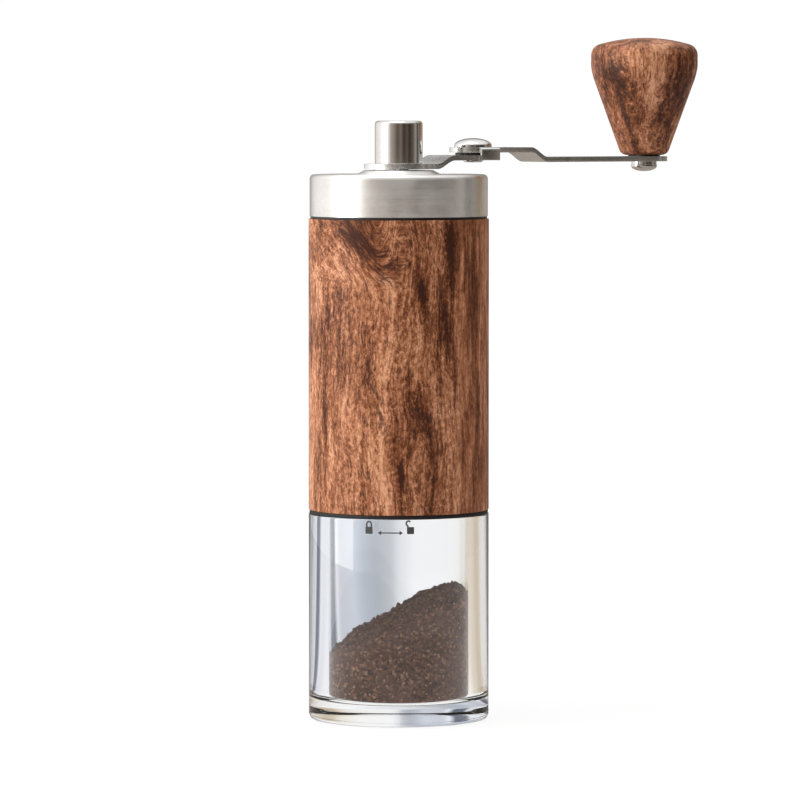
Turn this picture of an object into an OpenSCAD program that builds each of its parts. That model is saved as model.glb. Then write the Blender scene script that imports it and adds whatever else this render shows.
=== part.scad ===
// Slim hand-cranked burr coffee grinder: a clear receiver cup, a wood-wrapped
// body, a brushed steel lid and a folding crank with a wooden knob.
// Origin: centre of the cup's base. +Z is up and the crank points along +X.

/* [Body] */
// Outer diameter of the wood sleeve
body_d = 49; // [42:0.5:60]
// Height of the wood sleeve
sleeve_h = 79; // [72:0.2:110]
// Thickness of the wood sleeve
sleeve_t = 0.5; // [0.4:0.1:0.8]
// Wall of the metal tube inside the sleeve
tube_t = 1; // [0.8:0.1:1.3]
// Wall of the bayonet collar, measured in from the tube
collar_t = 1.8; // [1.6:0.1:2.2]

/* [Cup] */
// Height of the cup below its shoulder
cup_h = 56; // [40:0.2:80]
// Wall of the cup
cup_wall = 5.2; // [4.3:0.1:6.5]
// Thickness of the cup's floor
cup_floor = 5.2; // [3:0.1:9]
// Radius of the cup's lower outer edge
cup_edge_r = 1.4; // [0.6:0.1:2.5]
// Height of the neck above the shoulder
neck_h = 7.2; // [6.6:0.1:9]
// Height of the seam that the gasket fills
seam_h = 1; // [0.8:0.1:1.6]
// Width of one bayonet lug in degrees
lug_deg = 24; // [16:1:30]
// Turn from unlocked to locked in degrees
lock_deg = 35; // [25:1:40]

/* [Lid] */
// How far the lid's side is set in from the sleeve
lid_inset = 0.3; // [0:0.1:1]
// Height of the steel lid
lid_h = 11.3; // [8:0.1:16]
// Radius of the lid's upper edge
lid_edge_r = 1.3; // [0.5:0.1:2]
// Sheet thickness of the lid
lid_t = 1.2; // [0.8:0.1:1.6]
// Height of the black flange under the lid
flange_t = 0.7; // [0.6:0.1:1.5]
// Depth of the plug that goes down into the tube
plug_h = 7; // [5:0.5:9]

/* [Shaft and bearings] */
// Diameter of the drive shaft
shaft_d = 6; // [5:0.1:7]
// Outer diameter of each ball bearing
bearing_d = 13; // [12.4:0.1:16]
// Width of each ball bearing
bearing_w = 5; // [4:0.1:6]
// Number of balls in each bearing
ball_n = 8; // [6:1:8]
// Radial clearance of running fits
run_c = 0.05; // [0.02:0.01:0.08]

/* [Burrs] */
// Outer diameter of the ring burr
ring_burr_d = 38; // [34:0.5:39]
// Height of the ring burr
ring_burr_h = 14; // [11:0.5:16]
// Widest diameter of the conical burr
cone_burr_d = 31.8; // [29:0.2:32]
// Diameter of the grind dial
dial_d = 26; // [20:1:28]
// Height of the grind dial
dial_h = 5; // [4:0.2:6]

/* [Crank] */
// Distance from the shaft to the fold rivet
inner_len = 24; // [22:0.5:32]
// Distance from the fold rivet to the knob
outer_len = 57; // [46:0.5:75]
// Width of the crank arms
arm_w = 13; // [11:0.5:14]
// Thickness of the crank arms
arm_t = 1.4; // [1.2:0.1:1.8]
// Diameter of the crank's hub plate
hub_plate_d = 19; // [16:0.5:22]
// Diameter of the tall hub
hub_d = 13; // [11:0.5:14]
// Height of the hub above its plate
hub_h = 11.7; // [10:0.1:16]
// Diameter of the rivet's domed head
rivet_head_d = 10.3; // [7:0.1:12]
// Diameter of the fold rivet's shank
rivet_d = 5; // [4:0.1:6]

/* [Knob] */
// Widest diameter of the knob
knob_d = 29.8; // [24:0.2:36]
// Height of the knob
knob_h = 32.7; // [28:0.1:42]
// Diameter of the knob's foot
knob_foot_d = 14.2; // [13:0.2:18]
// Diameter of the knob's spindle
spindle_d = 5; // [4:0.1:6]

/* [Hidden] */
$fn = 96;
eps = 0.01;
face_gap = 0.05;            // between flat faces that turn on each other
slip_c = 0.15;              // between pieces that lift apart
over = 1;                   // how far a cutter runs past a face

// Radii
body_r = body_d / 2;
tube_r = body_r - sleeve_t;
bore_r = tube_r - tube_t;
neck_r = bore_r - collar_t;
cup_in_r = body_r - cup_wall;
collar_c = 0.25;
collar_in_r = neck_r + collar_c;
lug_depth = 0.9;
lug_r = neck_r + lug_depth;
slot_r = lug_r + collar_c;
shaft_r = shaft_d / 2;
bearing_r = bearing_d / 2;
ring_burr_r = ring_burr_d / 2;
cone_burr_r = cone_burr_d / 2;
lid_r = body_r - lid_inset;
hub_r = hub_d / 2;
hex_flats = shaft_d * 0.87;
hex_r = hex_flats / sqrt(3);
hex_hole_r = hex_r + 2 * run_c / sqrt(3);

// Heights of the outside
z_body = cup_h + seam_h;
z_top = z_body + sleeve_h;
z_lid = z_top + flange_t;
z_lid_top = z_lid + lid_h;
lid_boss_h = 1.1;
z_boss = z_lid_top + lid_boss_h;
hub_gap = 0.3;
z_hub = z_boss + hub_gap;
z_neck = cup_h + neck_h;

// Heights of the bayonet
lug_h = 2;
lug_drop = 0.4;
z_lug = z_neck - lug_drop - lug_h;
channel_c = 0.2;
collar_h = neck_h - seam_h + 1.4;
lug_n = 3;

// Heights of the mechanism
burr_travel = 1.2;
z_dial = z_body + 0.8;
dial_gap = 0.2;
z_click = z_dial + dial_h + dial_gap;
click_t = 0.8;
z_core = z_click + click_t;
core_flange_h = 1.6;
core_flange_r = 9;
z_cone = z_core + core_flange_h;
z_ring = z_cone + 1.6;
ring_clamp_t = 1.2;
cone_burr_h = ring_burr_h + 0.6;
z_cone_top = z_cone + cone_burr_h;
seat_lip_h = 1.2;
spring_h = 4.1;
z_spring_top = z_cone_top + spring_h;
spring_washer_t = 0.5;
z_shoulder = z_spring_top + spring_washer_t;
shoulder_h = 1;
z_lower_bearing = z_shoulder + shoulder_h;
housing_h = z_lower_bearing + bearing_w - z_ring;
bridge_drop = 10;
bridge_h = 8;
z_bridge = z_top - bridge_drop - bridge_h;
z_upper_bearing = z_bridge + 2.6;
clip_t = 0.8;
z_clip = z_upper_bearing + bearing_w;
hex_top_h = hub_h - 2.3 + arm_t;
z_shaft_end = z_dial - 0.2;
thread_h = z_click - burr_travel - 0.3 - z_shaft_end;
z_shaft_top = z_hub + hex_top_h;

// Bearing section
race_t = (bearing_r - shaft_r) * 0.32;
ball_pitch_r = (bearing_r + shaft_r) / 2;
ball_r = (bearing_r - shaft_r) * 0.3;
boss_r = bearing_r + 2;
seat_lip_w = 0.9;
rib_w = 3.5;
bridge_wall = 1.6;

// Crank levels
arm_step = 2.3;
z_inner = z_hub + arm_step;
hinge_gap = 0.7;
z_outer = z_inner + arm_t + hinge_gap;
outer_drop = 2.7;
z_far = z_outer - outer_drop;
z_knob_washer = z_far + arm_t;
knob_washer_t = 0.3;
z_knob = z_knob_washer + knob_washer_t + face_gap;
rivet_head_h = 2.5;
rivet_foot_r = 2.4 * rivet_d / 5;
rivet_foot_h = 0.6;
rivet_r = rivet_d / 2;
rivet_hole_r = rivet_r + run_c;
tab_t = 0.9;
tab_back = 1.9;
tab_front = 4;

// Knob section
spindle_r = spindle_d / 2;
spindle_head_r = 3.6;
spindle_head_h = 2;
spindle_washer_t = 0.8;
bush_r = spindle_r + 1.7;
bush_h = 18;
cavity_h = 20.5;

// Points of an arc in the XZ plane
function arc(cx, cz, r, a0, a1, n = 8) =
    [for (i = [0:n]) [cx + r * cos(a0 + (a1 - a0) * i / n), cz + r * sin(a0 + (a1 - a0) * i / n)]];

module ring(r_out, r_in, z, h)
    translate([0, 0, z]) difference() {
        cylinder(r = r_out, h = h);
        translate([0, 0, -over]) cylinder(r = r_in, h = h + 2 * over);
    }

module disc(r, z, h) translate([0, 0, z]) cylinder(r = r, h = h);

module hexagon(r, z, h) translate([0, 0, z]) cylinder(r = r, h = h, $fn = 6);

// A slice of a ring between two angles
module sector(r_out, r_in, z, h, a0, a1)
    translate([0, 0, z]) rotate([0, 0, a0]) rotate_extrude(angle = a1 - a0)
        translate([r_in, 0]) square([r_out - r_in, h]);

// Three ribs from a centre boss out to a wall
module ribs(z, h, r_in, r_out)
    for (a = [0:120:240]) rotate([0, 0, a + 60])
        translate([r_in, -rib_w / 2, z]) cube([r_out - r_in, rib_w, h]);

module bearing_outer(z)
    translate([0, 0, z]) difference() {
        ring(bearing_r, bearing_r - race_t, 0, bearing_w);
        bearing_groove();
    }

module bearing_inner(z)
    translate([0, 0, z]) difference() {
        ring(shaft_r + race_t, shaft_r, 0, bearing_w);
        bearing_groove();
    }

module bearing_groove()
    translate([0, 0, bearing_w / 2]) rotate_extrude()
        translate([ball_pitch_r, 0]) circle(r = ball_r + face_gap);

module bearing_balls(z)
    for (i = [0:ball_n - 1]) rotate([0, 0, 360 * i / ball_n])
        translate([ball_pitch_r, 0, z + bearing_w / 2]) sphere(r = ball_r, $fn = 32);

// ---- body ----

module body_tube() color("silver") ring(tube_r, bore_r, z_body, sleeve_h);

module wood_sleeve() color("saddlebrown") ring(body_r, tube_r, z_body, sleeve_h);

module top_bridge() color("dimgray") difference() {
    union() {
        ring(bore_r, bore_r - bridge_wall, z_bridge, bridge_h);
        disc(boss_r, z_upper_bearing - seat_lip_w, bearing_w + seat_lip_w);
        ribs(z_upper_bearing - seat_lip_w, bearing_w, boss_r - over, bore_r - bridge_wall / 2);
    }
    disc(bearing_r, z_upper_bearing, bearing_w + over);
    disc(bearing_r - seat_lip_w, z_upper_bearing - 2 * seat_lip_w, bearing_w);
}

module upper_bearing_outer() color("lightgray") bearing_outer(z_upper_bearing);
module upper_bearing_inner() color("lightgray") bearing_inner(z_upper_bearing);
module upper_bearing_balls() color("white") bearing_balls(z_upper_bearing);
module lower_bearing_outer() color("lightgray") bearing_outer(z_lower_bearing);
module lower_bearing_inner() color("lightgray") bearing_inner(z_lower_bearing);
module lower_bearing_balls() color("white") bearing_balls(z_lower_bearing);

screw_r = 0.9;
screw_circle_r = (ring_burr_r + bore_r) / 2 - 0.2;
screw_len = 8;
screw_head_r = 1.6;
screw_head_h = 1.1;

module at_screws() for (a = [0:120:240]) rotate([0, 0, a]) translate([screw_circle_r, 0, 0]) children();

// Holds the ring burr and the lower bearing, with a funnel above the burr
module burr_housing() color("dimgray") difference() {
    union() {
        translate([0, 0, z_ring]) rotate_extrude() polygon([
            [ring_burr_r, 0],
            [bore_r, 0],
            [bore_r, housing_h],
            [bore_r - 0.9, housing_h],
            [ring_burr_r - 1.4, ring_burr_h + seat_lip_h],
            [ring_burr_r - 1.4, ring_burr_h],
            [ring_burr_r, ring_burr_h]]);
        disc(boss_r, z_lower_bearing - seat_lip_w, bearing_w + seat_lip_w);
        ribs(z_lower_bearing - seat_lip_w, bearing_w, boss_r - over, bore_r - 0.5);
    }
    disc(bearing_r, z_lower_bearing, bearing_w + over);
    disc(bearing_r - seat_lip_w, z_lower_bearing - 2 * seat_lip_w, bearing_w);
    at_screws() disc(screw_r, z_ring - over, screw_len - ring_clamp_t + over);
}

coarse_n = 6;
fine_n = 30;
burr_gap = 0.4;
ring_top_r = ring_burr_r - 5.4;
ring_low_r = cone_burr_r + burr_gap;

module ring_burr() color("ivory") difference() {
    translate([0, 0, z_ring]) rotate_extrude() polygon([
        [ring_low_r, 0],
        [ring_burr_r, 0],
        [ring_burr_r, ring_burr_h],
        [ring_top_r, ring_burr_h]]);
    for (i = [0:coarse_n - 1]) rotate([0, 0, 360 * i / coarse_n])
        translate([ring_top_r, 0, z_ring + ring_burr_h * 0.62]) rotate([-28, 0, 0])
            translate([-1.6, -0.9, -4]) cube([3.2, 1.8, ring_burr_h]);
    for (i = [0:fine_n - 1]) rotate([0, 0, 360 * (i + 0.5) / fine_n])
        translate([ring_low_r, 0, z_ring]) rotate([-22, 0, 0])
            translate([-1.1, -0.35, -over]) cube([1.6, 0.7, ring_burr_h * 0.42]);
}

module burr_clamp_ring() color("silver") difference() {
    ring(screw_circle_r + 1.9, ring_low_r + 0.6, z_ring - ring_clamp_t, ring_clamp_t);
    at_screws() disc(screw_r, z_ring - ring_clamp_t - over, ring_clamp_t + 2 * over);
}

module clamp_screws() color("gray") at_screws() difference() {
    union() {
        disc(screw_r, z_ring - ring_clamp_t - eps, screw_len + eps);
        disc(screw_head_r, z_ring - ring_clamp_t - screw_head_h, screw_head_h);
    }
    hexagon(0.8, z_ring - ring_clamp_t - screw_head_h - over, over + 0.7);
}

// A wedge with its point on the axis, wider than any slot it cuts
module wedge(z, h, a0, a1)
    translate([0, 0, z]) linear_extrude(h)
        polygon([[0, 0], body_d * [cos(a0), sin(a0)], body_d * [cos(a1), sin(a1)]]);

// Three L-shaped slots: straight up, then round to the lock
module bayonet_collar() color("black") difference() {
    half = lug_deg / 2 + 2;
    channel_top = z_lug + lug_h + channel_c;
    ring(bore_r, collar_in_r, z_body, collar_h);
    intersection() {
        disc(slot_r, z_body - over, channel_top + over - z_body);
        for (i = [0:lug_n - 1]) rotate([0, 0, 360 * i / lug_n]) {
            wedge(z_body - 2 * over, channel_top + 3 * over - z_body, -half, half);
            wedge(z_lug - channel_c, lug_h + 2 * channel_c + over, 0, half + lock_deg);
        }
    }
}

// ---- shaft and burr ----

module drive_shaft() color("silver") difference() {
    union() {
        disc(shaft_r, z_shaft_end, thread_h);
        hexagon(hex_r, z_shaft_end + 1, z_shoulder - z_shaft_end);
        disc(shaft_r, z_shoulder - 1.5, z_boss - z_shoulder + 1.5);
        disc(shaft_r + 1, z_shoulder, shoulder_h);
        hexagon(hex_r, z_boss - over, z_shaft_top - z_boss + over);
    }
    ring(shaft_r + over, shaft_r - 0.5, z_clip, clip_t);
}

module shaft_clip() color("gray") difference() {
    ring(shaft_r + 1.6, shaft_r - 0.5, z_clip, clip_t);
    translate([0, -1.6, z_clip - over]) cube([shaft_r + 3, 3.2, clip_t + 2 * over]);
}

spring_r = shaft_r + 1.3;
wire_r = 0.4;
turns = 4;

// A coil of round wire: each ring of points is one step along the helix
module burr_spring() color("gray") {
    steps_per_turn = 14;
    sides = 6;
    n = turns * steps_per_turn;
    rise = spring_h - 2 * wire_r - 2 * eps;
    pts = [for (i = [0:n], j = [0:sides - 1])
        let (a = 360 * i / steps_per_turn, b = 360 * j / sides, r = spring_r + wire_r * cos(b))
        [r * cos(a), r * sin(a), z_cone_top + wire_r + eps + rise * i / n + wire_r * sin(b)]];
    walls = [for (i = [0:n - 1], j = [0:sides - 1])
        let (k = (j + 1) % sides)
        [i * sides + j, (i + 1) * sides + j, (i + 1) * sides + k, i * sides + k]];
    caps = [[for (j = [0:sides - 1]) j], [for (j = [sides - 1:-1:0]) n * sides + j]];
    polyhedron(points = pts, faces = concat(walls, caps), convexity = 8);
}

module spring_washer() color("silver")
    ring(spring_r + 1.1, shaft_r + run_c, z_spring_top, spring_washer_t);

cone_bore_r = shaft_r + 2.6;
cone_top_r = cone_bore_r + 2;
cone_band_h = 1.8;
cone_knee_h = 6.2;

module cone_burr() color("ivory") difference() {
    taper = (ring_low_r - ring_top_r) / ring_burr_h;
    translate([0, 0, z_cone]) rotate_extrude() polygon([
        [cone_bore_r, 0],
        [cone_burr_r, 0],
        [cone_burr_r, cone_band_h - 0.2],
        [cone_burr_r - (cone_knee_h - cone_band_h) * taper, cone_knee_h],
        [cone_top_r, cone_burr_h],
        [cone_bore_r, cone_burr_h]]);
    for (i = [0:coarse_n - 1]) rotate([0, 0, 360 * i / coarse_n])
        translate([cone_burr_r - 3.2, 0, z_cone + cone_knee_h]) rotate([-34, -38, 0])
            translate([-1.1, -1.2, -3]) cube([5, 2.4, ring_burr_h * 1.3]);
    for (i = [0:fine_n - 1]) rotate([0, 0, 360 * i / fine_n])
        translate([cone_burr_r, 0, z_cone]) rotate([-20, -6, 0])
            translate([-0.7, -0.35, 0.4]) cube([2, 0.7, cone_knee_h]);
}

module burr_core() color("black") difference() {
    union() {
        disc(core_flange_r, z_core, core_flange_h);
        disc(cone_bore_r, z_core, core_flange_h + cone_burr_h);
    }
    hexagon(hex_hole_r, z_core - over, core_flange_h + cone_burr_h + 2 * over);
}

module click_plate() color("silver") difference() {
    disc(core_flange_r, z_click, click_t);
    hexagon(hex_hole_r, z_click - over, click_t + 2 * over);
    for (i = [0:11]) rotate([0, 0, 30 * i])
        translate([core_flange_r - 1.6, 0, z_click - over]) cylinder(r = 0.5, h = click_t + 2 * over);
}

module grind_dial() color("black") difference() {
    grips = 18;
    union() {
        disc(dial_d / 2, z_dial, dial_h - 0.9);
        disc(dial_d / 2 - 2.2, z_dial, dial_h);
    }
    disc(shaft_r + run_c, z_dial - over, dial_h + 2 * over);
    disc(shaft_r + 3.2, z_dial - over, over + 1);
    for (i = [0:grips - 1]) rotate([0, 0, 360 * i / grips])
        translate([dial_d / 2 + 0.7, 0, z_dial - over]) cylinder(r = 1.5, h = dial_h + 2 * over);
}

// ---- crank ----

// A strip seen from the side: level, sloped, level again
module bent_strip(x0, x1, x2, x3, z_a, z_b, w)
    translate([0, w / 2, 0]) rotate([90, 0, 0]) linear_extrude(w) polygon([
        [x0, z_a], [x1, z_a], [x2, z_b], [x3, z_b],
        [x3, z_b + arm_t], [x2, z_b + arm_t], [x1, z_a + arm_t], [x0, z_a + arm_t]]);

spigot_r = hub_r - 1.6;

module inner_arm() color("silver") difference() {
    bend_start = hub_plate_d / 2 - 1;
    union() {
        disc(hub_plate_d / 2, z_hub, arm_t);
        bent_strip(spigot_r, bend_start, bend_start + 5.5, inner_len, z_hub, z_inner, arm_w);
        translate([inner_len, 0, z_inner]) cylinder(r = arm_w / 2, h = arm_t);
    }
    disc(spigot_r, z_hub - over, arm_t + 2 * over);
    translate([inner_len, 0, z_inner - over]) cylinder(r = rivet_r, h = arm_t + 2 * over);
}

// Tall turned hub with a blind hexagon socket for the shaft
module crank_hub() color("silver") difference() {
    union() {
        disc(spigot_r, z_hub, arm_t + eps);
        translate([0, 0, z_hub + arm_t]) rotate_extrude() polygon([
            [0, 0],
            [hub_r - 0.25, 0],
            [hub_r, 0.25],
            [hub_r, hub_h - 1],
            [hub_r - 0.35, hub_h - 0.35],
            [hub_r - 1, hub_h],
            [0, hub_h]]);
    }
    hexagon(hex_hole_r, z_hub - over, hex_top_h + face_gap + over);
}

module hinge_rivet() color("silver") translate([inner_len, 0, 0]) {
    dome_z = z_outer + arm_t + face_gap;
    head_r = rivet_head_d / 2;
    rim_h = 0.4;
    dome_h = rivet_head_h - rim_h;
    rotate_extrude() polygon(concat(
        [[0, z_inner - rivet_foot_h], [rivet_foot_r * 0.8, z_inner - rivet_foot_h],
         [rivet_foot_r * 1.15, z_inner - rivet_foot_h * 0.4], [rivet_foot_r * 1.15, z_inner],
         [rivet_r, z_inner], [rivet_r, dome_z], [head_r - 0.3, dome_z], [head_r, dome_z + rim_h]],
        [for (i = [1:8]) [head_r * cos(90 * i / 8), dome_z + rim_h + dome_h * sin(90 * i / 8)]]));
}

module hinge_washer() color("black") translate([inner_len, 0, 0])
    ring(arm_w / 2 - 1.6, rivet_r, z_inner + arm_t, hinge_gap - face_gap);

module outer_arm() color("silver") difference() {
    joggle_start = inner_len + 15;
    end_x = inner_len + outer_len;
    union() {
        translate([inner_len, 0, z_outer]) cylinder(r = arm_w / 2, h = arm_t);
        bent_strip(inner_len, joggle_start, joggle_start + 5, end_x, z_outer, z_far, arm_w);
        translate([end_x, 0, z_far]) cylinder(r = arm_w / 2, h = arm_t);
        // stop tab, bent down beside the inner arm
        translate([inner_len - tab_back, -arm_w / 2 - face_gap - tab_t, z_inner])
            cube([tab_back + tab_front, tab_t, z_outer + arm_t - z_inner]);
        translate([inner_len - tab_back, -arm_w / 2 - face_gap - tab_t, z_outer])
            cube([tab_back + tab_front, tab_t + arm_w / 2, arm_t]);
    }
    translate([inner_len, 0, z_outer - over]) cylinder(r = rivet_hole_r, h = arm_t + 2 * over);
    translate([end_x, 0, z_far - over]) cylinder(r = spindle_r, h = arm_t + 2 * over);
}

module at_knob() translate([inner_len + outer_len, 0, 0]) children();

module knob_spindle() color("silver") at_knob() {
    head_z = z_far - spindle_washer_t - spindle_head_h;
    dome_h = spindle_head_h * 0.7;
    rotate_extrude() polygon(concat(
        [for (i = [0:6]) [spindle_head_r * sin(90 * i / 6), head_z + dome_h * (1 - cos(90 * i / 6))]],
        [[spindle_head_r, head_z + spindle_head_h], [spindle_r, head_z + spindle_head_h],
         [spindle_r, z_knob + bush_h + 1.2], [0, z_knob + bush_h + 1.2]]));
}

module spindle_washer() color("silver") at_knob()
    ring(spindle_head_r - 0.1, spindle_r, z_far - spindle_washer_t, spindle_washer_t);

module knob_washer() color("white") at_knob()
    ring(spindle_r + 2, spindle_r, z_knob_washer, knob_washer_t);

module spindle_clip() color("gray") at_knob()
    ring(bush_r - 0.3, spindle_r, z_knob + bush_h + face_gap, 0.7);

module knob_bush() color("goldenrod") at_knob()
    ring(bush_r, spindle_r + run_c, z_knob, bush_h);

// A turned, tapered grip: domed crown, round shoulder, short band, straight taper
module knob() color("peru") at_knob() difference() {
    top_r = knob_d / 2;
    foot_r = knob_foot_d / 2;
    foot_edge = 2.2;
    crown_r = knob_d * 1.51;
    shoulder_r = 3.2;
    crown_z = knob_h - crown_r;
    shoulder_x = top_r - shoulder_r;
    shoulder_up = sqrt(pow(crown_r - shoulder_r, 2) - pow(shoulder_x, 2));
    shoulder_z = crown_z + shoulder_up;
    tangent = atan2(shoulder_up, shoulder_x);
    band_h = 2.4;
    translate([0, 0, z_knob]) rotate_extrude() polygon(concat(
        [[0, 0]],
        arc(foot_r - foot_edge, foot_edge, foot_edge, -90, -20, 5),
        [[top_r - 0.75, shoulder_z - band_h - 4.1],
         [top_r - 0.2, shoulder_z - band_h - 1.8],
         [top_r, shoulder_z - band_h]],
        arc(shoulder_x, shoulder_z, shoulder_r, 0, tangent, 5),
        arc(0, crown_z, crown_r, tangent + 3, 90, 6)));
    disc(bush_r, z_knob - over, cavity_h + over);
}

// ---- lid ----

boss_low_r = hub_plate_d / 2 + 2;
boss_top_r = hub_plate_d / 2 - 0.1;
grommet_r = shaft_r + 1.6;
skirt_r = lid_r - lid_t;

module lid_cap() color("silver") difference() {
    rotate_extrude() polygon(concat(
        [[grommet_r, z_lid_top - lid_t], [skirt_r, z_lid_top - lid_t], [skirt_r, z_lid]],
        [[lid_r - 0.2, z_lid], [lid_r, z_lid + 0.2]],
        arc(lid_r - lid_edge_r, z_lid_top - lid_edge_r, lid_edge_r, 0, 90, 6),
        [[boss_low_r, z_lid_top], [boss_low_r - 0.5, z_lid_top + 0.15],
         [boss_top_r + 0.2, z_boss - 0.1], [boss_top_r, z_boss],
         [grommet_r, z_boss]]));
}

plug_r = bore_r - slip_c;
seal_wire_r = 0.55;
seal_groove = 2 * seal_wire_r - slip_c + run_c;
z_seal = z_top - plug_h / 2;

module lid_insert() color("black") difference() {
    wall = 1.6;
    plate = 1.6;
    rotate_extrude() polygon([
        [shaft_r + 0.6, z_top - plug_h],
        [plug_r - 0.4, z_top - plug_h],
        [plug_r, z_top - plug_h + 0.4],
        [plug_r, z_top + slip_c],
        [tube_r, z_top + slip_c],
        [tube_r, z_lid],
        [skirt_r, z_lid],
        [skirt_r, z_lid_top - lid_t],
        [skirt_r - wall, z_lid_top - lid_t],
        [skirt_r - wall, z_top - plug_h + plate],
        [shaft_r + 0.6, z_top - plug_h + plate]]);
    translate([0, 0, z_seal - 0.8])
        ring(plug_r + over, plug_r - seal_groove, 0, 1.6);
}

module lid_seal() color("black") translate([0, 0, z_seal]) rotate_extrude()
    translate([plug_r - seal_groove + seal_wire_r, 0]) circle(r = seal_wire_r, $fn = 32);

module lid_grommet() color("black") {
    ring(grommet_r, shaft_r + slip_c, z_lid_top - lid_t, z_boss - 0.1 - z_lid_top + lid_t);
    ring(grommet_r + 1.4, shaft_r + slip_c, z_lid_top - lid_t - 0.8, 0.8);
}

// ---- cup ----

module cup_gasket() color("black")
    ring(body_r - 0.2, neck_r + face_gap, cup_h, seam_h - face_gap);

module cup() color("lightblue", 0.4) {
    floor_edge = 2.2;
    rotate_extrude() polygon(concat(
        [[0, 0]],
        arc(body_r - cup_edge_r, cup_edge_r, cup_edge_r, -90, 0, 6),
        [[body_r, cup_h - 0.3], [body_r - 0.3, cup_h], [neck_r, cup_h],
         [neck_r, z_neck - 0.3], [neck_r - 0.3, z_neck],
         [cup_in_r + 0.2, z_neck], [cup_in_r, z_neck - 0.2]],
        arc(cup_in_r - floor_edge, cup_floor + floor_edge, floor_edge, 0, -90, 6),
        [[0, cup_floor]]));
    for (i = [0:lug_n - 1]) rotate([0, 0, 360 * i / lug_n])
        sector(lug_r, neck_r - 0.3, z_lug, lug_h, -lug_deg / 2, lug_deg / 2);
}

body_tube();
wood_sleeve();
top_bridge();
upper_bearing_outer();
upper_bearing_inner();
upper_bearing_balls();
burr_housing();
lower_bearing_outer();
lower_bearing_inner();
lower_bearing_balls();
ring_burr();
burr_clamp_ring();
clamp_screws();
bayonet_collar();
drive_shaft();
shaft_clip();
burr_spring();
spring_washer();
cone_burr();
burr_core();
click_plate();
grind_dial();
inner_arm();
crank_hub();
hinge_rivet();
hinge_washer();
outer_arm();
knob_spindle();
spindle_washer();
knob_washer();
spindle_clip();
knob();
knob_bush();
lid_cap();
lid_insert();
lid_seal();
lid_grommet();
cup_gasket();
cup();
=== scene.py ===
"""The looks of a slim hand-cranked coffee grinder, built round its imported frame."""
import math

import bmesh
import bpy
import numpy as np
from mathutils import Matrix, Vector, noise


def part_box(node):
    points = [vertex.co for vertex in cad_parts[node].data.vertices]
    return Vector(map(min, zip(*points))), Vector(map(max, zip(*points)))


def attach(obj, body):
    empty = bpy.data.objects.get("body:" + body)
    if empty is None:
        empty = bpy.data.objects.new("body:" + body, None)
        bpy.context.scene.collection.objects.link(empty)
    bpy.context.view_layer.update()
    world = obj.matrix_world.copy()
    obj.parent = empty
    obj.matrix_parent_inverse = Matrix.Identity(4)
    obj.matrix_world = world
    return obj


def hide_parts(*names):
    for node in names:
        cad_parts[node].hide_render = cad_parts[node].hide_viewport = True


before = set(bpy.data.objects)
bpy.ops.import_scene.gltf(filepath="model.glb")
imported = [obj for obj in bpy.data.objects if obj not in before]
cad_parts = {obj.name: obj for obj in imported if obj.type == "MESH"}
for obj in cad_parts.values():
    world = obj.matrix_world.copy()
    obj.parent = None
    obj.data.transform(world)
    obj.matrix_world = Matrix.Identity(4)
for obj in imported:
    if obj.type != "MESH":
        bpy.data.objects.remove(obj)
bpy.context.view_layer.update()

MM = 0.001
FRONT_DEG = -32.0  # azimuth that the grinder is seen from; the crank points right and away


def low(name):
    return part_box(name)[0]


def high(name):
    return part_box(name)[1]


def radius_of(name):
    """Half the width of a round upright part."""
    return (high(name)[0] - low(name)[0]) / 2


def ends(name):
    """Heights of a part's lowest and highest points."""
    return low(name)[2], high(name)[2]


def middle(name):
    return (Vector(low(name)) + Vector(high(name))) / 2


# ---- mesh helpers

def polar(r, turn):
    return r * math.cos(turn), r * math.sin(turn)


def arc(cx, cz, r, a0, a1, n=8):
    """Points round an arc, in degrees, as (radius, height) pairs."""
    turns = [math.radians(a0 + (a1 - a0) * i / n) for i in range(n + 1)]
    return [(cx + r * math.cos(t), cz + r * math.sin(t)) for t in turns]


def rounded(points, closed=False, steps=5):
    """Rounds the corners of an outline of (x, z, corner radius) points."""
    out = []
    count = len(points)
    for i, (x, z, r) in enumerate(points):
        here = Vector((x, z))
        if r <= 0 or (not closed and i in (0, count - 1)):
            out.append((x, z))
            continue
        before = Vector(points[i - 1][:2]) - here
        after = Vector(points[(i + 1) % count][:2]) - here
        half = before.angle(after) / 2
        reach = min(r / math.tan(half), before.length * 0.49, after.length * 0.49)
        start = here + before.normalized() * reach
        end = here + after.normalized() * reach
        for k in range(steps + 1):
            t = k / steps
            p = start.lerp(here, t).lerp(here.lerp(end, t), t)
            out.append((p.x, p.y))
    return out


def finish_mesh(name, bm, material, sharp_deg=32):
    """Turns a bmesh into a shaded object."""
    bmesh.ops.recalc_face_normals(bm, faces=bm.faces)
    mesh = bpy.data.meshes.new(name)
    bm.to_mesh(mesh)
    bm.free()
    mesh.shade_smooth()
    mesh.set_sharp_from_angle(angle=math.radians(sharp_deg))
    mesh.materials.append(material)
    made = bpy.data.objects.new(name, mesh)
    bpy.context.collection.objects.link(made)
    return made


def bridge(bm, a, b, count):
    """Joins two closed rows of points with faces; a row of one point is a tip."""
    for i in range(count):
        j = (i + 1) % count
        unique = list(dict.fromkeys([a[i % len(a)], a[j % len(a)], b[j % len(b)], b[i % len(b)]]))
        if len(unique) > 2:
            bm.faces.new(unique)


def ring_of(bm, r, z, count, centre=(0, 0)):
    points = (polar(r, 2 * math.pi * i / count) for i in range(count))
    return [bm.verts.new((centre[0] + x, centre[1] + y, z)) for x, y in points]


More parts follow.
